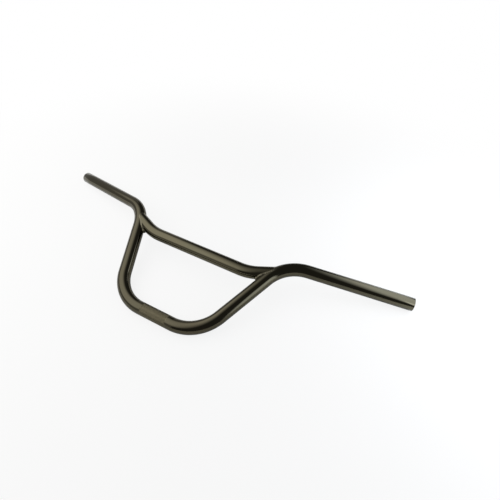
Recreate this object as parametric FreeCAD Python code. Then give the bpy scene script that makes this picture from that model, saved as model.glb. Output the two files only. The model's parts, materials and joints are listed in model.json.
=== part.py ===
"""A two-tube steel bicycle handlebar with a low, wide bend and a curved crossbar.

The main bar is one round tube with four bends: a straight for the stem clamp, two legs that splay out
as they rise, and two grips that sweep back and up. The crossbar is a second tube whose ends turn up,
are coped to the legs and are welded there all round.

It is drawn with the clamp on X and the legs in the XZ plane, then laid down as it comes to rest: on the
clamp and on the lower edges of its two grip ends, with the rider's side underneath. The origin stays at
the middle of the clamp. Sizes are in millimetres and angles in degrees.
"""
import FreeCAD
import Part
import math
import os

from FreeCAD import Vector

# Main bar
TUBE_OD = 22.2              # the 7/8 inch size that stems and grips are made for
TUBE_WALL = 1.5
CLAMP_STRAIGHT = 64.5       # flat stretch between the two lower bends
LOWER_BEND_RADIUS = 70.5    # to the tube's centre line, as are the other bends
LEG_SPLAY = 22.2            # each leg's lean outwards from upright
LEG_STRAIGHT = 97.6
UPPER_BEND_RADIUS = 72.7
BACK_SWEEP = 11.4           # of the grips, towards the rider
UP_SWEEP = 10.5             # of the grips, above level
GRIP_STRAIGHT = 175.4
END_CHAMFER = 0.5           # deburred rim of each cut end

# Crossbar
CROSSBAR_OD = 22.2
CROSSBAR_WALL = 1.5
CROSSBAR_BEND_RADIUS = 87.0
CROSSBAR_END_ANGLE = 22.3   # how far its ends turn up
CROSSBAR_END_RISE = 17.8    # from its straight up to where its centre line meets the main bar's
CROSSBAR_MEET_ANGLE = 15.2  # how far round the upper bend that meeting point lies

# Welds
WELD_RADIUS = 2.6           # of the round bead before the tubes take their share of it
WELD_PATH_INSET = 0.4       # of the bead's line from the crossbar's skin, so that it meets the leg all round
WELD_SAMPLES = 18           # corners of the bead's path round each joint
SEAM_SAMPLES = 36           # places round the crossbar where the seam is found

X_AXIS = Vector(1, 0, 0)
MITRED = 1                  # how a sweep turns a corner
STEEPEST_REST = 60.0        # bound of the search for the resting tilt
TILT_HALVINGS = 60          # steps of that search


def unit(vector):
    return Vector(vector).normalize()


def mirrored(point):
    return Vector(-point.x, point.y, point.z)


def corner_cut(radius, before, after):
    """Length that a bend takes from each of the two runs that meet at its corner."""
    return radius * math.tan(before.getAngle(after) / 2)


def grip_direction():
    back, up = math.radians(BACK_SWEEP), math.radians(UP_SWEEP)
    return Vector(math.cos(back) * math.cos(up), math.sin(back) * math.cos(up), math.sin(up))


def leg_direction():
    splay = math.radians(LEG_SPLAY)
    return Vector(math.sin(splay), 0, math.cos(splay))


def main_corners():
    """Corners of the main bar's centre line on the right-hand side, from the clamp out to the cut end."""
    leg, grip = leg_direction(), grip_direction()
    low_cut = corner_cut(LOWER_BEND_RADIUS, X_AXIS, leg)
    top_cut = corner_cut(UPPER_BEND_RADIUS, leg, grip)
    low = X_AXIS * (CLAMP_STRAIGHT / 2 + low_cut)
    top = low + leg * (low_cut + LEG_STRAIGHT + top_cut)
    end = top + grip * (top_cut + GRIP_STRAIGHT)
    return low, top, end


def rod(corners, radii, radius):
    """A solid rod along straight runs joined by tangent bends, made run by run as a tube bender works."""
    pieces = []
    start = corners[0]
    for index, corner in enumerate(corners[1:], 1):
        along = unit(corner - corners[index - 1])
        if index == len(corners) - 1:
            pieces.append(Part.makeCylinder(radius, (corner - start).Length, start, along))
            break
        onward = unit(corners[index + 1] - corner)
        cut = corner_cut(radii[index - 1], along, onward)
        bend_start = corner - along * cut
        pieces.append(Part.makeCylinder(radius, (bend_start - start).Length, start, along))
        hinge = unit(along.cross(onward))
        centre = bend_start + hinge.cross(along) * radii[index - 1]
        section = Part.Face(Part.Wire(Part.makeCircle(radius, bend_start, along)))
        turn = math.degrees(along.getAngle(onward))
        pieces.append(section.revolve(centre, hinge, turn))
        start = corner + onward * cut
    return pieces[0].multiFuse(pieces[1:]).removeSplitter()


def main_rod(radius):
    low, top, end = main_corners()
    corners = [mirrored(end), mirrored(top), mirrored(low), low, top, end]
    radii = [UPPER_BEND_RADIUS, LOWER_BEND_RADIUS, LOWER_BEND_RADIUS, UPPER_BEND_RADIUS]
    return rod(corners, radii, radius)


def make_main_bar():
    """The bent tube, open at both ends, with the rims of its cut ends chamfered."""
    low, top, end = main_corners()
    outside = main_rod(TUBE_OD / 2)
    rims = [
        edge for edge in outside.Edges
        if isinstance(edge.Curve, Part.Circle)
        and min((edge.Curve.Center - rim).Length for rim in (end, mirrored(end))) < END_CHAMFER
    ]
    return outside.makeChamfer(END_CHAMFER, rims).cut(main_rod(TUBE_OD / 2 - TUBE_WALL))


def upper_bend_point(turned):
    """The point on the main bar's centre line so many degrees into its right-hand upper bend."""
    leg, grip = leg_direction(), grip_direction()
    bend_start = main_corners()[1] - leg * corner_cut(UPPER_BEND_RADIUS, leg, grip)
    inward = unit(grip - leg * (leg * grip))
    angle = math.radians(turned)
    return bend_start + (leg * math.sin(angle) + inward * (1 - math.cos(angle))) * UPPER_BEND_RADIUS


def crossbar_corners():
    """The right-hand corner of the crossbar's centre line, and the point where it meets the main bar's."""
    meet = upper_bend_point(CROSSBAR_MEET_ANGLE)
    run = CROSSBAR_END_RISE / math.tan(math.radians(CROSSBAR_END_ANGLE))
    return meet - Vector(run, 0, CROSSBAR_END_RISE), meet


def crossbar_rod(radius):
    """The crossbar before it is coped, with ends that reach the main bar's centre line."""
    corner, meet = crossbar_corners()
    radii = [CROSSBAR_BEND_RADIUS, CROSSBAR_BEND_RADIUS]
    return rod([mirrored(meet), mirrored(corner), corner, meet], radii, radius)


def make_crossbar(main_outside):
    """The crossbar tube, coped at both ends to seat on the main bar's skin."""
    tube = crossbar_rod(CROSSBAR_OD / 2).cut(crossbar_rod(CROSSBAR_OD / 2 - CROSSBAR_WALL))
    return max(tube.cut(main_outside).Solids, key=lambda solid: solid.Volume)


def seam_point(main_outside, turn):
    """Where a line along the crossbar, just under its skin, first reaches the main bar on the right."""
    corner, meet = crossbar_corners()
    along = unit(meet - corner)
    side = Vector(0, 1, 0)
    reach = CROSSBAR_OD / 2 - WELD_PATH_INSET
    offset = (side * math.cos(turn) + along.cross(side) * math.sin(turn)) * reach
    line = Part.makeLine(corner + offset, meet + offset + along * TUBE_OD)
    hits = [vertex.Point for vertex in line.common(main_outside).Vertexes]
    return min(hits, key=lambda point: (point - corner) * along)


def weld_corners(main_outside):
    """Evenly spaced corners of the bead's path, once round the seam of the right-hand joint."""
    turns = [2 * math.pi * index / SEAM_SAMPLES for index in range(SEAM_SAMPLES)]
    seam = Part.BSplineCurve()
    seam.interpolate(Points=[seam_point(main_outside, turn) for turn in turns], PeriodicFlag=True)
    return seam.toShape().discretize(Number=WELD_SAMPLES + 1)[:-1]


def weld_run(points):
    """A round rope of weld metal through the points, mitred at each of them."""
    section = Part.Wire(Part.makeCircle(WELD_RADIUS, points[0], points[1] - points[0]))
    return Part.makePolygon(points).makePipeShell([section], True, False, MITRED)


def make_weld(main_outside, crossbar_outside):
    """The bead round the right-hand joint: two runs that close a ring, less what the tubes fill."""
    corners = weld_corners(main_outside)
    half = WELD_SAMPLES // 2
    start = (corners[-1] + corners[0]) * 0.5
    middle = (corners[half - 1] + corners[half]) * 0.5
    ring = weld_run([start] + corners[:half] + [middle]).fuse(weld_run([middle] + corners[half:] + [start]))
    bead = ring.cut(main_outside).cut(crossbar_outside)
    return max(bead.Solids, key=lambda solid: solid.Volume)


def rest_tilt():
    """Turn about X that brings the lower rims of both grip ends level with the underside of the clamp."""
    end, grip = main_corners()[2], grip_direction()

    def rim_above_floor(tilt):
        up = Vector(0, -math.cos(tilt), math.sin(tilt))
        slope = up * grip
        rim = up * (end - grip * END_CHAMFER) - TUBE_OD / 2 * math.sqrt(1 - slope * slope)
        return rim + TUBE_OD / 2

    low, high = 0.0, math.radians(STEEPEST_REST)
    for _ in range(TILT_HALVINGS):
        middle = (low + high) / 2
        if rim_above_floor(middle) < 0:
            low = middle
        else:
            high = middle
    return math.degrees(high)


def laid_down(shape):
    """The shape turned about the clamp's axis into its resting pose, rise along +Y and front upwards."""
    turned = shape.copy()
    turned.rotate(Vector(0, 0, 0), X_AXIS, rest_tilt() - 90)
    return turned


def main():
    main_outside = main_rod(TUBE_OD / 2)
    crossbar = make_crossbar(main_outside)
    right_weld = make_weld(main_outside, crossbar_rod(CROSSBAR_OD / 2))
    pieces = {
        "main_bar": make_main_bar(),
        "crossbar": crossbar,
        "weld_beads": Part.makeCompound([right_weld, right_weld.mirror(Vector(0, 0, 0), X_AXIS)]),
    }
    os.makedirs("parts", exist_ok=True)
    for name, shape in pieces.items():
        laid_down(shape).exportStep(f"parts/{name}.step")
        print(name, "valid", shape.isValid(), "solids", len(shape.Solids), "volume", round(shape.Volume, 1))
    print("rest tilt", round(rest_tilt(), 3))


main()
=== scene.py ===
"""A welded steel handlebar in black chrome, lying on white paper.

The main bar and the crossbar are drawn as a tube bender makes them: one ring of the tube's skin is carried
along each straight and turned round each bend. The crossbar is coped to the main bar and a rippled weld bead
runs round each joint. The middle of the clamp straight is knurled. Lengths are in metres.
"""
import json
import math
import random

import bpy
from bpy.props import FloatProperty, FloatVectorProperty, IntProperty, PointerProperty, StringProperty
from mathutils import Matrix, Vector


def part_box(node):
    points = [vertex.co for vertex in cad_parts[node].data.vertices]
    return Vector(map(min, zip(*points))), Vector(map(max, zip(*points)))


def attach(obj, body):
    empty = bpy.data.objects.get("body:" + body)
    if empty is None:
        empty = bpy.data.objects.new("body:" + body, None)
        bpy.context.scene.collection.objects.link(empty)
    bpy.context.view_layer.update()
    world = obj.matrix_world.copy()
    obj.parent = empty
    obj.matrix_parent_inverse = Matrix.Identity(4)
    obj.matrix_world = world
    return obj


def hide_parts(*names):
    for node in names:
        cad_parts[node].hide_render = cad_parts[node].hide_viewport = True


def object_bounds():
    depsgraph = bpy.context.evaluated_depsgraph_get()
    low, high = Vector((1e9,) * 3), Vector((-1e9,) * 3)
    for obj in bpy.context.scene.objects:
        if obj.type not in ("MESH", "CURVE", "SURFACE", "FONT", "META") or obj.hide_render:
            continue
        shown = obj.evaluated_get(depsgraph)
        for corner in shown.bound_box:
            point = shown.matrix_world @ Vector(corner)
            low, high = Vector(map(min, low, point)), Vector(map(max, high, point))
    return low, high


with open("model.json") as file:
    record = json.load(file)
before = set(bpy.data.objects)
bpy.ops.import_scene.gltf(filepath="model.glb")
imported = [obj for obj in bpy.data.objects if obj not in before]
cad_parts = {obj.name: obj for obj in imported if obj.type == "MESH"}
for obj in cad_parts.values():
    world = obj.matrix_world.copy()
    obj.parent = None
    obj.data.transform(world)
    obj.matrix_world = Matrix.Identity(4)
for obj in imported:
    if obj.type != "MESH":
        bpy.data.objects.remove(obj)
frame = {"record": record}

bl_info = {
    "name": "Welded Handlebar",
    "version": (1, 0, 0),
    "blender": (4, 5, 0),
    "location": "3D View > Sidebar > Handlebar",
    "description": "Builds a bent and welded tube handlebar in black chrome, with its studio",
    "category": "Add Mesh",
}

CAD_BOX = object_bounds()
MOUNTS = {mount["name"]: mount for mount in frame["record"]["mounts"]}

MM = 0.001
X_AXIS = Vector((1, 0, 0))
BODY = "root"

# Divisions of the skins. The knurl sets the columns round the tube: two for each of its pyramids.
RINGS_IN_LOWER_BEND = 40
RINGS_IN_UPPER_BEND = 40
RINGS_IN_CROSSBAR_BEND = 16
RINGS_IN_STRAIGHT = 6
RIM_STEPS = 2               # facets across each bevelled rim
NEAR = 0.02 * MM            # points closer than this are one point
WORST_MISFIT = 0.3 * MM     # of a skin's end from where its centre line or its mount ends
SMOOTH_UNDER = math.radians(30)     # folds sharper than this stay crisp


def mount_size(name, key):
    return MOUNTS[name]["dims"][key] * MM


def length(name, description, default):
    return FloatProperty(
        name=name, description=description, default=default, min=0, unit="LENGTH", precision=5)


def angle(name, description, degrees):
    return FloatProperty(name=name, description=description, default=math.radians(degrees), unit="ROTATION")


def hex_colour(name, description, default):
    return StringProperty(name=name, description=description + ", as an sRGB hex value", default=default)


class HandlebarSizes(bpy.types.PropertyGroup):
    """Sizes of the tubes, their bends, the knurl and the welds."""
    tube_radius: length("Tube radius", "Outside radius of both tubes", mount_size("stem_clamp", "r_mm"))
    bore_radius: length("Bore radius", "Inside radius of both tubes", mount_size("right_bar_end", "r_mm"))
    clamp_straight: length("Clamp straight", "Between the lower bends", mount_size("stem_clamp", "length_mm"))
    lower_bend: length("Lower bend", "Radius of the centre line beside the clamp", 70.5 * MM)
    leg_splay: angle("Leg splay", "Lean of each leg outwards from upright", 22.2)
    leg_lift: angle("Leg lift", "Slope of the legs from the surface that the bar lies on", 11.189)
    leg_straight: length("Leg straight", "Straight stretch of each leg", 97.6 * MM)
    upper_bend: length("Upper bend", "Radius of the centre line between leg and grip", 72.7 * MM)
    grip_straight: length("Grip straight", "From bend to cut end", mount_size("right_bar_end", "length_mm"))
    rim_bevel: length("Rim bevel", "Deburred edge of each cut end", 0.5 * MM)
    crossbar_corner: length("Crossbar corner", "From the middle to where its two lines cross", 100.494 * MM)
    crossbar_bend: length("Crossbar bend", "Radius of the crossbar's centre line", 87.0 * MM)
    crossbar_end_angle: angle("Crossbar end angle", "How far its ends turn up", 22.3)
    crossbar_reach: length("Crossbar reach", "From its corner to the main bar's centre line", 46.91 * MM)
    knurl_pitch: length("Knurl pitch", "From pyramid to pyramid along the tube", 1.6 * MM)
    knurl_depth: length("Knurl depth", "From the tops of the pyramids to the grooves", 0.2 * MM)
    knurl_rows: IntProperty(
        name="Knurl rows", description="Pyramids from the middle to each side", default=16)
    knurl_columns: IntProperty(
        name="Knurl columns", description="Pyramids round the tube", default=44)
    bead_half_width: length("Bead half width", "Half of the weld bead across the seam", 3.4 * MM)
    bead_face: length("Bead face", "Width of the weld's face across the corner between the tubes", 4.8 * MM)
    bead_flush: length("Flush bead height", "Of the weld bead where the tubes are flush", 0.55 * MM)
    ripple_spacing: length("Ripple spacing", "From ripple to ripple along the bead", 1.8 * MM)
    bead_grain: length("Bead grain", "Finest step of the weld's skin", 0.28 * MM)
    bead_seat: length("Bead seat", "How deep the bead reaches into the tubes", 0.4 * MM)


class HandlebarFinish(bpy.types.PropertyGroup):
    """Colours of the plating and of the bare bore."""
    chrome: hex_colour("Black chrome", "Mirror tone of the plating", "#555344")
    chrome_warm: hex_colour("Warm black chrome", "Tone where the plating is thicker", "#595243")
    # Both crossbar tones are lighter than the main bar's, though it is the same plating: painted light that
    # brightens the crossbar's reflections.
    crossbar: hex_colour("Crossbar chrome", "Mirror tone of the plating on the crossbar", "#605E4D")
    crossbar_warm_painted_lighter: hex_colour("Warm crossbar chrome", "Tone where its plating is thicker", "#645D4B")
    # The weld's tones are lighter than the tubes' plating: a painted highlight along the bead. They mix in
    # random patches, not in the hollows between ripples.
    weld: hex_colour("Plated weld", "Mirror tone of the plating over weld metal", "#7A7564")
    weld_dark: hex_colour("Plated weld, dark", "Tone in the hollows between ripples", "#625D4C")
    # Both knurl tones are lighter than the tubes' plating: painted light that brightens the knurl's
    # reflection. Dust sets which of the two shows.
    knurl: hex_colour("Knurl", "Tone of the plating over the knurl", "#6E6753")
    knurl_worn: hex_colour("Worn knurl", "Tone where the knurl is cleaner", "#625D4B")
    bore: hex_colour("Bare bore", "Dull steel inside the tube", "#4A4743")
    bore_rust: hex_colour("Bore rust", "Thin rust inside the tube", "#4F3A2B")
    paper: hex_colour("Paper", "White paper that the bar lies on", "#F4F4F2")


class HandlebarStudio(bpy.types.PropertyGroup):
    """Place of the camera and strength of the room's light."""
    camera_place: FloatVectorProperty(
        name="Camera", description="Where the camera stands", default=(0.317, -0.2227, 0.5497), unit="LENGTH")
    camera_aim: FloatVectorProperty(
        name="Aim", description="Point on the floor in the middle of the picture",
        default=(0.0616, 0.2032, -0.0111), unit="LENGTH")
    camera_roll: angle("Camera roll", "Turn of the camera about its line of sight", -2.4)
    lens: FloatProperty(name="Lens", description="Focal length in millimetres on a 36 mm frame", default=28.8)
    room_light: FloatProperty(name="Room light", description="Light that comes from all round", default=0.25)


# Modelling helpers

def deselect_all():
    bpy.ops.object.select_all(action="DESELECT")


def make_active(piece):
    deselect_all()
    piece.select_set(True)
    bpy.context.view_layer.objects.active = piece


def select_parts(piece, edges=None, faces=None, points=None):
    """In object mode, leaves selected only the edges, faces or points that the given test accepts."""
    mesh = piece.data
    for part in (mesh.vertices, mesh.edges, mesh.polygons):
        part.foreach_set("select", [False] * len(part))
    for part, test in ((mesh.edges, edges), (mesh.polygons, faces), (mesh.vertices, points)):
        if test:
            part.foreach_set("select", [bool(test(item)) for item in part])
    mode = (points is not None, edges is not None, faces is not None)
    bpy.context.tool_settings.mesh_select_mode = mode


def apply_modifier(piece, kind, **settings):
    make_active(piece)
    modifier = piece.modifiers.new(kind.title(), kind)
    for name, value in settings.items():
        setattr(modifier, name, value)
    bpy.ops.object.modifier_apply(modifier=modifier.name)


def point_normals_outwards(piece):
    make_active(piece)
    bpy.ops.object.mode_set(mode="EDIT")
    bpy.ops.mesh.select_all(action="SELECT")
    bpy.ops.mesh.remove_doubles(threshold=NEAR)
    bpy.ops.mesh.normals_make_consistent(inside=False)
    bpy.ops.object.mode_set(mode="OBJECT")


def half_tube(name, start, radius, columns, runs):
    """The open skin of the right-hand half of a tube: a ring on the middle plane, carried along the runs.

    A run is (direction, length, rings) for a straight, or (direction, bend radius, rings, "bend") for a bend
    that turns into that direction. Returns the piece and the end of its centre line.
    """
    deselect_all()
    bpy.context.tool_settings.mesh_select_mode = (True, False, False)
    bpy.ops.mesh.primitive_circle_add(
        vertices=columns, radius=radius, fill_type="NOTHING", location=start, rotation=(0, math.pi / 2, 0))
    piece = bpy.context.active_object
    piece.name = piece.data.name = name
    bpy.ops.object.transform_apply(location=True, rotation=True, scale=True)
    bpy.ops.object.mode_set(mode="EDIT")
    place, along = Vector(start), X_AXIS.copy()
    for direction, size, rings, *bend in runs:
        if bend:
            hinge = along.cross(direction).normalized()
            centre = place + hinge.cross(along) * size
            turn = along.angle(direction)
            bpy.ops.mesh.spin(steps=rings, angle=-turn, center=centre, axis=hinge)
            place = centre + Matrix.Rotation(turn, 3, hinge) @ (place - centre)
        else:
            for _ in range(rings):
                step = direction * (size / rings)
                bpy.ops.mesh.extrude_region_move(TRANSFORM_OT_translate={"value": step})
            place = place + direction * size
        along = direction
    bpy.ops.object.mode_set(mode="OBJECT")
    ring = [vertex.co for vertex in piece.data.vertices if vertex.select]
    if len(ring) != columns or (sum(ring, Vector()) / columns - place).length > WORST_MISFIT:
        raise RuntimeError(f"{name}: the skin doesn't end where its centre line does")
    return piece, place


def whole_tube(piece):
    """Mirrors a half skin across the middle plane and joins the two halves there."""
    apply_modifier(
        piece, "MIRROR", use_axis=(True, False, False), use_mirror_merge=True, merge_threshold=NEAR)
    point_normals_outwards(piece)
    return piece


def closed_rod(piece):
    """Caps both open ends of a whole skin, to cut with."""
    make_active(piece)
    bpy.ops.object.mode_set(mode="EDIT")
    bpy.ops.mesh.select_all(action="SELECT")
    bpy.ops.mesh.fill_holes(sides=0)
    bpy.ops.mesh.normals_make_consistent(inside=False)
    bpy.ops.object.mode_set(mode="OBJECT")
    return piece


def drop_idle_points(piece):
    """Takes out the points that a cut leaves behind and that only divide an edge in two."""
    make_active(piece)
    edges_there = [0] * len(piece.data.vertices)
    for edge in piece.data.edges:
        for index in edge.vertices:
            edges_there[index] += 1
    select_parts(piece, points=lambda vertex: edges_there[vertex.index] == 2)
    bpy.ops.object.mode_set(mode="EDIT")
    bpy.ops.mesh.dissolve_verts()
    bpy.ops.object.mode_set(mode="OBJECT")


def leg_direction(sizes):
    rise = math.cos(sizes.leg_splay)
    return Vector((
        math.sin(sizes.leg_splay), rise * math.cos(sizes.leg_lift), rise * math.sin(sizes.leg_lift)))


def main_runs(sizes):
    """Straights and bends of the main bar's right-hand half, from the middle of the clamp to the cut end."""
    knurled = sizes.knurl_rows * sizes.knurl_pitch
    leg = leg_direction(sizes)
    grip = Vector(MOUNTS["right_grip"]["axis"]).normalized()
    return [
        (X_AXIS, knurled, 2 * sizes.knurl_rows),
        (X_AXIS, sizes.clamp_straight / 2 - knurled, 1),
        (leg, sizes.lower_bend, RINGS_IN_LOWER_BEND, "bend"),
        (leg, sizes.leg_straight, RINGS_IN_STRAIGHT),
        (grip, sizes.upper_bend, RINGS_IN_UPPER_BEND, "bend"),
        (grip, sizes.grip_straight, RINGS_IN_STRAIGHT),
    ]


def bar_end():
    """Middle of the right-hand cut end, and the direction that it faces."""
    mount = MOUNTS["right_bar_end"]
    axis = Vector(mount["axis"]).normalized()
    return Vector(mount["pos_m"]) + axis * (mount_size("right_bar_end", "length_mm") / 2), axis


def main_skin(sizes, name, radius):
    """The main bar's skin, checked against the mount at its cut end."""
    piece, end = half_tube(name, (0, 0, 0), radius, 2 * sizes.knurl_columns, main_runs(sizes))
    misfit = (end - bar_end()[0]).length
    if misfit > WORST_MISFIT:
        raise RuntimeError(f"{name}: its end is {misfit / MM:.2f} mm from the bar end's mount")
    return whole_tube(piece)


def crossbar_line(sizes):
    """Middle of the crossbar, its right-hand corner and the direction of its right-hand end."""
    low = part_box("crossbar")[0]
    middle = Vector((0, low.y + sizes.tube_radius, low.z + sizes.tube_radius))
    rise = math.sin(sizes.crossbar_end_angle)
    end = Vector((math.cos(sizes.crossbar_end_angle),
                  rise * math.cos(sizes.leg_lift), rise * math.sin(sizes.leg_lift)))
    return middle, middle + X_AXIS * sizes.crossbar_corner, end


def crossbar_skin(sizes, name, radius):
    """The crossbar's skin before coping. Its ends reach the main bar's centre line."""
    middle, _, end = crossbar_line(sizes)
    cut = sizes.crossbar_bend * math.tan(sizes.crossbar_end_angle / 2)
    runs = [
        (X_AXIS, sizes.crossbar_corner - cut, RINGS_IN_STRAIGHT),
        (end, sizes.crossbar_bend, RINGS_IN_CROSSBAR_BEND, "bend"),
        (end, sizes.crossbar_reach - cut, RINGS_IN_STRAIGHT),
    ]
    return whole_tube(half_tube(name, middle, radius, 2 * sizes.knurl_columns, runs)[0])


def finish_piece(piece, node):
    """Smooths the piece's shading and enters it in the frame in place of the CAD node."""
    make_active(piece)
    bpy.ops.object.shade_smooth_by_angle(angle=SMOOTH_UNDER)
    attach(piece, BODY)
    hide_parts(node)


# Materials

def linear(colour):
    """Linear RGBA of an sRGB hex value."""
    channels = [int(colour[place:place + 2], 16) / 255 for place in (1, 3, 5)]
    return [c / 12.92 if c <= 0.04045 else ((c + 0.055) / 1.055) ** 2.4 for c in channels] + [1.0]


def add_node(tree, kind, settings=None, inputs=None, links=None):
    """Adds a node, sets its attributes and sockets, and links sockets to (node, output) pairs."""
    node = tree.nodes.new(kind)
    for name, value in (settings or {}).items():
        setattr(node, name, value)
    for socket, value in (inputs or {}).items():
        node.inputs[socket].default_value = value
    for socket, (source, output) in (links or {}).items():
        tree.links.new(source.outputs[output], node.inputs[socket])
    return node


def new_material(name):
    material = bpy.data.materials.new(name)
    material.use_nodes = True
    material.node_tree.nodes.clear()
    return material, material.node_tree


def seen_or_mirrored(tree, path):
    """One for what the camera sees directly, in a mirror or through glass, and nought for light."""
    mirrored = add_node(tree, "ShaderNodeMath", {"operation": "MAXIMUM"},
                        links={0: (path, "Is Camera Ray"), 1: (path, "Is Glossy Ray")})
    return add_node(tree, "ShaderNodeMath", {"operation": "MAXIMUM"},
                    links={0: (mirrored, 0), 1: (path, "Is Transmission Ray")})


def per_metre(size):
    """Texture scale at which one cell of the pattern is that many metres."""
    return 1 / size


SMUDGE_SIZE = 45 * MM       # wiping and handling marks on the plating
MIST_SIZE = 6 * MM          # cloudy patches in the polish
PEEL_SIZE = 2.5 * MM        # faint waviness left in the tube by polishing
PEEL_HEIGHT = 0.004 * MM
WELD_GRAIN = 0.9 * MM       # frosty grain of weld metal, drawn about twice as coarse as it is
WELD_GRAIN_HEIGHT = 0.03 * MM
RUST_SIZE = 4 * MM          # blooms of thin rust in the bore
DUST_SIZE = 9 * MM          # patches of dust caught in the knurl

# Roughness of each finish, from its smoothest places to its roughest
POLISHED, WIPED = 0.07, 0.13
CLEAR, CLOUDY = 0.0, 0.05   # added to that of the plating
KNURL_CLEAN, KNURL_DUSTY = 0.30, 0.42
WELD_SMOOTH, WELD_FROSTY = 0.20, 0.32
BORE_SMOOTH, BORE_RUSTY = 0.42, 0.75
BORE_METALLIC = 0.8         # less than one, because rust isn't metal

# Stretch of a noise pattern over which a finish changes: nearly all of it, or only its peaks
NOISE_FROM, NOISE_TO = 0.3, 0.7
WIPED_FROM, WIPED_TO = 0.5, 0.75
CLOUDY_FROM, CLOUDY_TO = 0.45, 0.8

# Sockets of a node that mixes colours
MIX_SHARE, MIX_FIRST, MIX_SECOND, MIX_RESULT = 0, 6, 7, 2
WHITE = (1, 1, 1, 1)


def black_chrome(name, colour, warm_colour):
    """Black chrome plating on polished steel tube: a dark, slightly warm mirror with faint wiping marks."""
    material, tree = new_material(name)
    place = add_node(tree, "ShaderNodeTexCoord")
    smudge = add_node(tree, "ShaderNodeTexNoise", inputs={"Scale": per_metre(SMUDGE_SIZE), "Detail": 4.0},
                      links={"Vector": (place, "Object")})
    mist = add_node(tree, "ShaderNodeTexNoise", inputs={"Scale": per_metre(MIST_SIZE), "Detail": 3.0},
                    links={"Vector": (place, "Object")})
    peel = add_node(tree, "ShaderNodeTexNoise", inputs={"Scale": per_metre(PEEL_SIZE), "Detail": 1.0},
                    links={"Vector": (place, "Object")})
    tone = add_node(tree, "ShaderNodeMix", {"data_type": "RGBA"},
                    {MIX_FIRST: linear(colour), MIX_SECOND: linear(warm_colour)},
                    {MIX_SHARE: (smudge, "Fac")})
    wiped = add_node(tree, "ShaderNodeMapRange",
                     inputs={"From Min": WIPED_FROM, "From Max": WIPED_TO,
                             "To Min": POLISHED, "To Max": WIPED},
                     links={"Value": (smudge, "Fac")})
    cloudy = add_node(tree, "ShaderNodeMapRange",
                      inputs={"From Min": CLOUDY_FROM, "From Max": CLOUDY_TO,
                              "To Min": CLEAR, "To Max": CLOUDY},
                      links={"Value": (mist, "Fac")})
    gloss = add_node(tree, "ShaderNodeMath", {"operation": "ADD"},
                     links={0: (wiped, "Result"), 1: (cloudy, "Result")})
    bump = add_node(tree, "ShaderNodeBump", inputs={"Strength": 1.0, "Distance": PEEL_HEIGHT},
                    links={"Height": (peel, "Fac")})
    shader = add_node(tree, "ShaderNodeBsdfPrincipled", inputs={"Metallic": 1.0},
                      links={"Base Color": (tone, MIX_RESULT), "Roughness": (gloss, 0),
                             "Normal": (bump, 0)})
    add_node(tree, "ShaderNodeOutputMaterial", links={"Surface": (shader, 0)})
    return material


def knurled_chrome(finish):
    """The plating over knurled steel, in a tone lightened as painted light: the cut faces are matt and hold a
    little dust.
    """
    material, tree = new_material("knurled_black_chrome_painted_lighter")
    place = add_node(tree, "ShaderNodeTexCoord")
    dust = add_node(tree, "ShaderNodeTexNoise", inputs={"Scale": per_metre(DUST_SIZE), "Detail": 4.0},
                    links={"Vector": (place, "Object")})
    # Lighter than the tubes' plating as painted light; the dust noise picks between the two tones
    tone = add_node(tree, "ShaderNodeMix", {"data_type": "RGBA"},
                    {MIX_FIRST: linear(finish.knurl_worn), MIX_SECOND: linear(finish.knurl)},
                    {MIX_SHARE: (dust, "Fac")})
    gloss = add_node(tree, "ShaderNodeMapRange",
                     inputs={"From Min": NOISE_FROM, "From Max": NOISE_TO,
                             "To Min": KNURL_CLEAN, "To Max": KNURL_DUSTY},
                     links={"Value": (dust, "Fac")})
    shader = add_node(tree, "ShaderNodeBsdfPrincipled", inputs={"Metallic": 1.0},
                      links={"Base Color": (tone, MIX_RESULT), "Roughness": (gloss, "Result")})
    add_node(tree, "ShaderNodeOutputMaterial", links={"Surface": (shader, 0)})
    return material


def plated_weld(finish):
    """Black chrome over a rippled weld bead, with a painted highlight in its lighter tones and a frosty
    grain.
    """
    material, tree = new_material("black_chrome_over_weld_with_painted_highlight")
    place = add_node(tree, "ShaderNodeTexCoord")
    grain = add_node(tree, "ShaderNodeTexNoise", inputs={"Scale": per_metre(WELD_GRAIN), "Detail": 3.0},
                     links={"Vector": (place, "Object")})
    patches = add_node(tree, "ShaderNodeTexNoise", inputs={"Scale": per_metre(MIST_SIZE), "Detail": 2.0},
                       links={"Vector": (place, "Object")})
    # Lighter tones than the tubes' plating, as a painted highlight, mixed in random patches
    tone = add_node(tree, "ShaderNodeMix", {"data_type": "RGBA"},
                    {MIX_FIRST: linear(finish.weld_dark), MIX_SECOND: linear(finish.weld)},
                    {MIX_SHARE: (patches, "Fac")})
    gloss = add_node(tree, "ShaderNodeMapRange",
                     inputs={"From Min": NOISE_FROM, "From Max": NOISE_TO,
                             "To Min": WELD_SMOOTH, "To Max": WELD_FROSTY},
                     links={"Value": (grain, "Fac")})
    bump = add_node(tree, "ShaderNodeBump", inputs={"Strength": 1.0, "Distance": WELD_GRAIN_HEIGHT},
                    links={"Height": (grain, "Fac")})
    shader = add_node(tree, "ShaderNodeBsdfPrincipled", inputs={"Metallic": 1.0},
                      links={"Base Color": (tone, MIX_RESULT), "Roughness": (gloss, "Result"),
                             "Normal": (bump, 0)})
    add_node(tree, "ShaderNodeOutputMaterial", links={"Surface": (shader, 0)})
    return material


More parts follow.
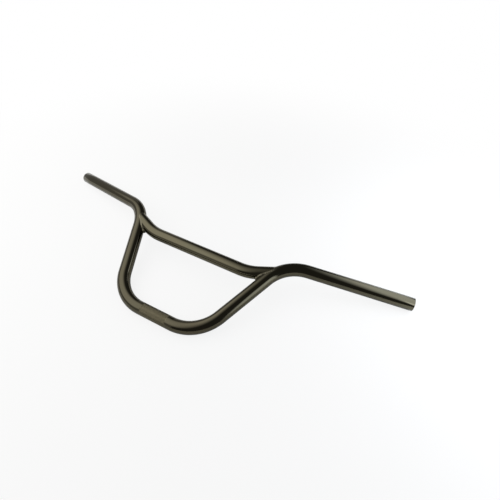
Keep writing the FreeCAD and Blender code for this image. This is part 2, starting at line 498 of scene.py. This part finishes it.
def bare_bore(finish):
    """Drawn steel inside the tube, which the plating doesn't reach: dull grey with thin blooms of rust."""
    material, tree = new_material("bare_steel_bore")
    place = add_node(tree, "ShaderNodeTexCoord")
    rust = add_node(tree, "ShaderNodeTexNoise", inputs={"Scale": per_metre(RUST_SIZE), "Detail": 5.0},
                    links={"Vector": (place, "Object")})
    tone = add_node(tree, "ShaderNodeMix", {"data_type": "RGBA"},
                    {MIX_FIRST: linear(finish.bore), MIX_SECOND: linear(finish.bore_rust)},
                    {MIX_SHARE: (rust, "Fac")})
    gloss = add_node(tree, "ShaderNodeMapRange",
                     inputs={"From Min": NOISE_FROM, "From Max": NOISE_TO,
                             "To Min": BORE_SMOOTH, "To Max": BORE_RUSTY},
                     links={"Value": (rust, "Fac")})
    shader = add_node(tree, "ShaderNodeBsdfPrincipled", inputs={"Metallic": BORE_METALLIC},
                      links={"Base Color": (tone, MIX_RESULT), "Roughness": (gloss, "Result")})
    add_node(tree, "ShaderNodeOutputMaterial", links={"Surface": (shader, 0)})
    return material


def white_paper(finish):
    """Matt white paper under the bar, which shows the shadow near the bar and is plain white further off."""
    material, tree = new_material("matt_white_paper")
    place = add_node(tree, "ShaderNodeTexCoord")
    distance = add_node(tree, "ShaderNodeVectorMath", {"operation": "LENGTH"}, links={0: (place, "Object")})
    path = add_node(tree, "ShaderNodeLightPath")
    lift = add_node(tree, "ShaderNodeMath", {"operation": "MULTIPLY"}, {1: PAPER_LIFT},
                    {0: (path, "Is Camera Ray")})
    white_share = add_node(tree, "ShaderNodeMapRange", {"interpolation_type": "SMOOTHSTEP"},
                           {"From Min": SHADOW_REACH, "From Max": PAPER_WHITE},
                           {"Value": (distance, "Value"), "To Min": (lift, 0)})
    seen = seen_or_mirrored(tree, path)
    plain = add_node(tree, "ShaderNodeMath", {"operation": "MULTIPLY"},
                     links={0: (white_share, "Result"), 1: (seen, 0)})
    matt = add_node(tree, "ShaderNodeBsdfDiffuse", inputs={"Color": linear(finish.paper)})
    white = add_node(tree, "ShaderNodeEmission", inputs={"Color": WHITE, "Strength": 1.0})
    shader = add_node(tree, "ShaderNodeMixShader", links={0: (plain, 0), 1: (matt, 0), 2: (white, 0)})
    add_node(tree, "ShaderNodeOutputMaterial", links={"Surface": (shader, 0)})
    return material


def hung_cloth(name, glow):
    """Cloth hung round the set, which the plating mirrors as its dark stripes."""
    material, tree = new_material(name)
    shader = add_node(tree, "ShaderNodeEmission", inputs={"Color": WHITE, "Strength": glow})
    add_node(tree, "ShaderNodeOutputMaterial", links={"Surface": (shader, 0)})
    return material


# Pieces

# Places of two finishes in a piece's list of materials, in which the plating comes first
BORE, KNURL = 1, 2


def bevel_rims(piece, sizes):
    """Takes the sharp edges off both cut ends, inside and out."""
    make_active(piece)
    outermost, axis = bar_end()
    points = piece.data.vertices
    at_end = []
    for vertex in points:
        right = Vector((abs(vertex.co.x), vertex.co.y, vertex.co.z))
        at_end.append(abs((right - outermost).dot(axis)) < NEAR)
    columns = 2 * sizes.knurl_columns
    longest = 2 * sizes.tube_radius * math.sin(math.pi / columns) + NEAR    # edges across the wall are longer

    def round_rim(edge):
        first, second = edge.vertices
        return at_end[first] and at_end[second] and (points[first].co - points[second].co).length < longest

    select_parts(piece, edges=round_rim)
    bpy.ops.object.mode_set(mode="EDIT")
    bpy.ops.mesh.bevel(offset=sizes.rim_bevel, segments=RIM_STEPS, affect="EDGES")
    bpy.ops.object.mode_set(mode="OBJECT")


def cut_knurl(piece, sizes):
    """Presses the grooves' crossings into the clamp's skin and folds the skin along the grooves."""
    make_active(piece)
    columns = 2 * sizes.knurl_columns
    row = sizes.knurl_pitch / 2
    side = sizes.knurl_rows * sizes.knurl_pitch
    outside = (sizes.tube_radius + sizes.bore_radius) / 2

    def in_band(point):
        return abs(point.x) < side + NEAR and math.hypot(point.y, point.z) > outside

    def crossing(vertex):
        point = vertex.co
        if not in_band(point) or abs(point.x) > side - row / 2:
            return False
        column = round(math.atan2(point.z, point.y) / (2 * math.pi) * columns)
        return (column + round(abs(point.x) / row)) % 2 == 0

    def band_face(face):
        return all(in_band(piece.data.vertices[index].co) for index in face.vertices)

    select_parts(piece, points=crossing)
    pressed = (sizes.tube_radius - sizes.knurl_depth) / sizes.tube_radius
    bpy.ops.object.mode_set(mode="EDIT")
    bpy.ops.transform.resize(value=(1, pressed, pressed), center_override=(0, 0, 0))
    bpy.ops.object.mode_set(mode="OBJECT")
    select_parts(piece, faces=band_face)
    piece.active_material_index = KNURL
    bpy.ops.object.mode_set(mode="EDIT")
    bpy.ops.object.material_slot_assign()
    bpy.ops.mesh.quads_convert_to_tris(quad_method="SHORTEST_DIAGONAL")
    bpy.ops.object.mode_set(mode="OBJECT")


class HANDLEBAR_OT_main_bar(bpy.types.Operator):
    """Bends the main bar, gives it its wall, bevels its cut ends and knurls its clamp"""
    bl_idname = "handlebar.main_bar"
    bl_label = "Main Bar"

    def execute(self, context):
        sizes, finish = context.scene.handlebar_sizes, context.scene.handlebar_finish
        piece = main_skin(sizes, "bent_main_bar", sizes.tube_radius)
        chrome = black_chrome("black_chrome_plating", finish.chrome, finish.chrome_warm)
        for material in (chrome, bare_bore(finish), knurled_chrome(finish)):
            piece.data.materials.append(material)
        apply_modifier(piece, "SOLIDIFY", thickness=sizes.tube_radius - sizes.bore_radius, offset=-1,
                       use_even_offset=True, material_offset=BORE)
        bevel_rims(piece, sizes)
        cut_knurl(piece, sizes)
        finish_piece(piece, "main_bar")
        return {"FINISHED"}


class HANDLEBAR_OT_crossbar(bpy.types.Operator):
    """Bends the crossbar, gives it its wall and copes its ends to the main bar"""
    bl_idname = "handlebar.crossbar"
    bl_label = "Crossbar"

    def execute(self, context):
        sizes, finish = context.scene.handlebar_sizes, context.scene.handlebar_finish
        piece = crossbar_skin(sizes, "coped_crossbar", sizes.tube_radius)
        # A lighter copy of the main bar's plating: painted light that brightens the crossbar's reflections.
        chrome = black_chrome("crossbar_chrome_painted_lighter", finish.crossbar, finish.crossbar_warm_painted_lighter)
        for material in (chrome, bare_bore(finish)):
            piece.data.materials.append(material)
        apply_modifier(piece, "SOLIDIFY", thickness=sizes.tube_radius - sizes.bore_radius, offset=-1,
                       use_even_offset=True, material_offset=BORE)
        cutter = closed_rod(main_skin(sizes, "cope_cutter", sizes.tube_radius))
        apply_modifier(piece, "BOOLEAN", operation="DIFFERENCE", solver="EXACT", object=cutter)
        bpy.data.objects.remove(cutter)
        finish_piece(piece, "crossbar")
        return {"FINISHED"}


SEAM_LINES = 144            # places round the crossbar where the seam is found
PATH_INSET = 0.4 * MM       # of those places from the crossbar's skin, so that each meets the main bar
RIPPLE_LEAN = math.radians(10)      # of each ripple, where the corner is deep
RIPPLE_THICKNESS = 0.8      # of each ripple along the seam, as a share of its half width
RIPPLE_SEGMENTS, RIPPLE_RINGS = 16, 10      # facets of the ball that is flattened into each ripple
UNEVENNESS = 0.05           # how much ripples differ in size, as a hand-laid bead's do
RIPPLE_SEED = 7
DEEP_CORNER = 0.5           # depth of the corner between the tubes at which the bead has its full face
FULLNESS = 0.75             # least half width of a ripple, as a share of its height
SMOOTHING, SMOOTHING_PASSES = 0.5, 3        # of the bead's skin, as molten metal evens out


def seam_line(sizes, target):
    """Points round the right-hand joint's seam, with the bead's outward direction and the corner's depth.

    The depth runs from 0, where the two skins are flush, to 1, where they face each other.
    """
    _, corner, end = crossbar_line(sizes)
    side = end.orthogonal().normalized()
    points = []
    for number in range(SEAM_LINES):
        turned = Matrix.Rotation(2 * math.pi * number / SEAM_LINES, 3, end) @ side
        hit, place, normal, _ = target.ray_cast(corner + turned * (sizes.tube_radius - PATH_INSET), end)
        if not hit:
            raise RuntimeError("the seam of the crossbar can't be found")
        facing = (1 - normal.dot(turned)) / 2
        points.append((place, (normal + turned).normalized(), facing))
    return points


def spaced(points, spacing):
    """Evenly spaced points along a closed line, about the spacing apart, with the direction of travel."""
    places = [place for place, _, _ in points]
    lengths = [(places[(n + 1) % len(places)] - place).length for n, place in enumerate(places)]
    count = round(sum(lengths) / spacing)
    step = sum(lengths) / count
    walked, index, result = 0.0, 0, []
    for number in range(count):
        while walked + lengths[index] < number * step:
            walked += lengths[index]
            index += 1
        share = (number * step - walked) / lengths[index]
        (start, out, depth), (stop, out_next, _) = points[index], points[(index + 1) % len(points)]
        along = (stop - start).normalized()
        result.append((start.lerp(stop, share), out.lerp(out_next, share).normalized(), along, depth))
    return result


def lay_ripples(sizes, path):
    """Lays a flattened ball of weld metal at each point of the path and joins them into one piece."""
    uneven = random.Random(RIPPLE_SEED)
    deselect_all()
    bpy.ops.mesh.primitive_uv_sphere_add(segments=RIPPLE_SEGMENTS, ring_count=RIPPLE_RINGS, radius=1)
    pattern = bpy.context.active_object
    ripples = []
    for place, out, along, depth in path:
        across = along.cross(out).normalized()
        out = across.cross(along)
        frame_of_seam = Matrix((across, along, out)).transposed()
        share = min(1, depth / DEEP_CORNER) ** 2
        lean = Matrix.Rotation(RIPPLE_LEAN * share, 3, across)
        filled = sizes.bead_face / 2 / math.sqrt(1 - depth)     # the narrower the corner, the further out
        height = sizes.bead_flush + (filled - sizes.bead_flush) * share
        half_width = max(sizes.bead_half_width, FULLNESS * height)
        half_length = sizes.bead_half_width * RIPPLE_THICKNESS
        size = (Matrix.Diagonal((half_width, half_length, height))
                * uneven.uniform(1 - UNEVENNESS, 1 + UNEVENNESS))
        ripple = pattern.copy()
        ripple.data = pattern.data.copy()
        ripple.data.transform(Matrix.Translation(place) @ (lean @ frame_of_seam @ size).to_4x4())
        bpy.context.scene.collection.objects.link(ripple)
        ripples.append(ripple)
    bpy.data.objects.remove(pattern)
    make_active(ripples[0])
    for ripple in ripples:
        ripple.select_set(True)
    bpy.ops.object.join()
    return bpy.context.active_object


class HANDLEBAR_OT_weld_beads(bpy.types.Operator):
    """Lays a bead of overlapping ripples round each joint and seats it in the tubes"""
    bl_idname = "handlebar.weld_beads"
    bl_label = "Weld Beads"

    def execute(self, context):
        sizes, finish = context.scene.handlebar_sizes, context.scene.handlebar_finish
        target = closed_rod(main_skin(sizes, "seam_finder", sizes.tube_radius))
        context.view_layer.update()
        path = spaced(seam_line(sizes, target), sizes.ripple_spacing)
        bpy.data.objects.remove(target)
        piece = lay_ripples(sizes, path)
        piece.name = piece.data.name = "rippled_weld_beads"
        piece.data.materials.append(plated_weld(finish))
        apply_modifier(piece, "REMESH", mode="VOXEL", voxel_size=sizes.bead_grain)
        apply_modifier(piece, "SMOOTH", factor=SMOOTHING, iterations=SMOOTHING_PASSES)
        seat_radius = sizes.tube_radius - sizes.bead_seat
        for seat in (crossbar_skin(sizes, "crossbar_seat", seat_radius),
                     main_skin(sizes, "main_seat", seat_radius)):
            closed_rod(seat)
            apply_modifier(piece, "BOOLEAN", operation="DIFFERENCE", solver="EXACT", object=seat)
            bpy.data.objects.remove(seat)
        drop_idle_points(piece)
        apply_modifier(piece, "MIRROR", use_axis=(True, False, False), use_mirror_merge=False)
        finish_piece(piece, "weld_beads")
        return {"FINISHED"}


# Stage

FLOOR_SIZE = 24.0
SHADOW_REACH = 0.40         # out to here the paper shows its shadows
PAPER_WHITE = 0.90          # from here on it is plain white
PAPER_LIFT = 0.85           # share of plain white in the paper beside the bar, so that its shadows are light
CLOTH_RADIUS = 4.0
CLOTH_SEGMENTS, CLOTH_RINGS = 144, 72
BLACK_GLOW, GREY_GLOW = 0.09, 0.40  # of the cloth's two parts, where white is 1
GREY_FROM, GREY_TO = math.radians(-160), math.radians(-30)      # grey part of the cloth, clockwise from +Y
GREY_TOP = math.radians(27.5)       # how far up the grey part reaches

LAMPLIGHT, DAYLIGHT = "#FFFFFF", "#EAF2FF"

# Name, colour, place, turn in degrees, width, height, radiance, the share of its reach over which its light
# fades, and how far up its height it is brightest
SOFTBOXES = (
    ("left_overhead_softbox", LAMPLIGHT, (-0.695, -0.103, 0.573), (0, 0, 17),
     1.716, 1.944, 1.43, 0.55, 0.5),
    ("right_overhead_softbox", DAYLIGHT, (0.759, 0.398, 0.212), (0, 0, 0),
     1.214, 0.874, 2.80, 0.32, 0.5),
    ("right_side_softbox", DAYLIGHT, (1.300, -0.170, 0.645), (90, 0, 90),
     0.460, 1.310, 2.10, 0.58, 0.328),
    ("right_back_softbox", DAYLIGHT, (0.448, 1.214, 0.215), (90, 0, 180),
     0.640, 0.450, 2.62, 0.41, 0.5),
)


class HANDLEBAR_OT_studio(bpy.types.Operator):
    """Sets the floor, the dark cloth, the lamps, the room light and the camera"""
    bl_idname = "handlebar.studio"
    bl_label = "Studio"

    def execute(self, context):
        scene = context.scene
        studio, finish = scene.handlebar_studio, scene.handlebar_finish
        self.lay_paper(finish)
        self.hang_cloth()
        for softbox in SOFTBOXES:
            self.hang_softbox(*softbox)
        self.light_room(scene, studio)
        self.place_camera(scene, studio)
        scene.view_settings.view_transform = "Standard"
        return {"FINISHED"}

    def lay_paper(self, finish):
        """A sheet of white paper at the height of the bar's underside."""
        deselect_all()
        bpy.ops.mesh.primitive_plane_add(size=FLOOR_SIZE, location=(0, 0, CAD_BOX[0][2]))
        floor = bpy.context.active_object
        floor.name = "paper_floor"
        floor.data.materials.append(white_paper(finish))

    def hang_cloth(self):
        """A dome of black cloth with a grey part on the left, which only the plating's mirror shows."""
        deselect_all()
        bpy.ops.mesh.primitive_uv_sphere_add(
            segments=CLOTH_SEGMENTS, ring_count=CLOTH_RINGS, radius=CLOTH_RADIUS)
        cloth = bpy.context.active_object
        cloth.name = "dark_cloth"

        def under_floor(face):
            return face.center.z < 0

        def grey_part(face):
            bearing = math.atan2(face.center.x, face.center.y)
            height = math.asin(face.center.normalized().z)
            return GREY_FROM < bearing < GREY_TO and height < GREY_TOP

        select_parts(cloth, faces=under_floor)
        bpy.ops.object.mode_set(mode="EDIT")
        bpy.ops.mesh.delete(type="FACE")
        bpy.ops.object.mode_set(mode="OBJECT")
        cloth.data.materials.append(hung_cloth("black_cloth", BLACK_GLOW))
        cloth.data.materials.append(hung_cloth("grey_cloth", GREY_GLOW))
        for face in cloth.data.polygons:
            face.material_index = int(grey_part(face))
        for kind in ("camera", "diffuse", "transmission", "volume_scatter", "shadow"):
            setattr(cloth, "visible_" + kind, False)

    def hang_softbox(self, name, colour, place, turn, width, height, radiance, fade, brightest):
        """A softbox whose light fades towards its sides, so that its mirror image has no hard edge."""
        turn = [math.radians(degrees) for degrees in turn]
        bpy.ops.object.light_add(type="AREA", location=place, rotation=turn)
        lamp = bpy.context.active_object
        lamp.name = name
        lamp.visible_camera = False
        lamp.data.shape = "RECTANGLE"
        lamp.data.size, lamp.data.size_y = width, height
        lamp.data.energy = radiance * math.pi * width * height
        lamp.data.use_nodes = True
        tree = lamp.data.node_tree
        tree.nodes.clear()
        # How far each spot lies from the brightest one, as a share of the way to the top and the sides
        spot = add_node(tree, "ShaderNodeNewGeometry")
        offset = add_node(tree, "ShaderNodeVectorMath", {"operation": "SUBTRACT"},
                          {1: (0.5, brightest, 0)}, {0: (spot, "Parametric")})
        scaled = add_node(tree, "ShaderNodeVectorMath", {"operation": "MULTIPLY"},
                          {1: (2, 1 / (1 - brightest), 0)}, {0: (offset, 0)})
        outwards = add_node(tree, "ShaderNodeVectorMath", {"operation": "LENGTH"}, links={0: (scaled, 0)})
        strength = add_node(tree, "ShaderNodeMapRange", {"interpolation_type": "SMOOTHSTEP"},
                            {"From Min": 1.0, "From Max": 1.0 - fade}, {"Value": (outwards, "Value")})
        glow = add_node(tree, "ShaderNodeEmission", inputs={"Color": linear(colour)},
                        links={"Strength": (strength, "Result")})
        add_node(tree, "ShaderNodeOutputLight", links={"Surface": (glow, 0)})

    def light_room(self, scene, studio):
        """White for what is seen directly or mirrored, and a plain level for the light that it gives."""
        world = bpy.data.worlds.new("white_room")
        world.use_nodes = True
        tree = world.node_tree
        tree.nodes.clear()
        path = add_node(tree, "ShaderNodeLightPath")
        seen = seen_or_mirrored(tree, path)
        strength = add_node(tree, "ShaderNodeMapRange", inputs={"To Min": studio.room_light, "To Max": 1.0},
                            links={"Value": (seen, 0)})
        background = add_node(tree, "ShaderNodeBackground", inputs={"Color": WHITE},
                              links={"Strength": (strength, "Result")})
        add_node(tree, "ShaderNodeOutputWorld", links={"Surface": (background, 0)})
        scene.world = world

    def place_camera(self, scene, studio):
        place, aim = Vector(studio.camera_place), Vector(studio.camera_aim)
        bpy.ops.object.camera_add(location=place)
        camera = bpy.context.active_object
        camera.name = "camera"
        camera.data.lens = studio.lens
        camera.rotation_mode = "QUATERNION"
        level = (aim - place).to_track_quat("-Z", "Y")
        camera.rotation_quaternion = level @ Matrix.Rotation(studio.camera_roll, 3, "Z").to_quaternion()
        scene.camera = camera


class HANDLEBAR_PT_panel(bpy.types.Panel):
    """Lists the handlebar's pieces and its studio"""
    bl_label = "Handlebar"
    bl_idname = "HANDLEBAR_PT_panel"
    bl_space_type = "VIEW_3D"
    bl_region_type = "UI"
    bl_category = "Handlebar"

    def draw(self, context):
        for operator in STEPS:
            self.layout.operator(operator.bl_idname)
        for group in GROUPS:
            self.layout.label(text=group.__doc__)
            values = getattr(context.scene, GROUPS[group])
            for name in group.__annotations__:
                self.layout.prop(values, name)


STEPS = (HANDLEBAR_OT_main_bar, HANDLEBAR_OT_crossbar, HANDLEBAR_OT_weld_beads, HANDLEBAR_OT_studio)
GROUPS = {
    HandlebarSizes: "handlebar_sizes",
    HandlebarFinish: "handlebar_finish",
    HandlebarStudio: "handlebar_studio",
}


def register():
    for group, name in GROUPS.items():
        bpy.utils.register_class(group)
        setattr(bpy.types.Scene, name, PointerProperty(type=group))
    for kind in STEPS + (HANDLEBAR_PT_panel,):
        bpy.utils.register_class(kind)


def unregister():
    for kind in reversed(STEPS + (HANDLEBAR_PT_panel,)):
        bpy.utils.unregister_class(kind)
    for group, name in reversed(GROUPS.items()):
        delattr(bpy.types.Scene, name)
        bpy.utils.unregister_class(group)


def main():
    register()
    bpy.ops.handlebar.main_bar()
    bpy.ops.handlebar.crossbar()
    bpy.ops.handlebar.weld_beads()
    bpy.ops.handlebar.studio()


if __name__ == "__main__":
    main()
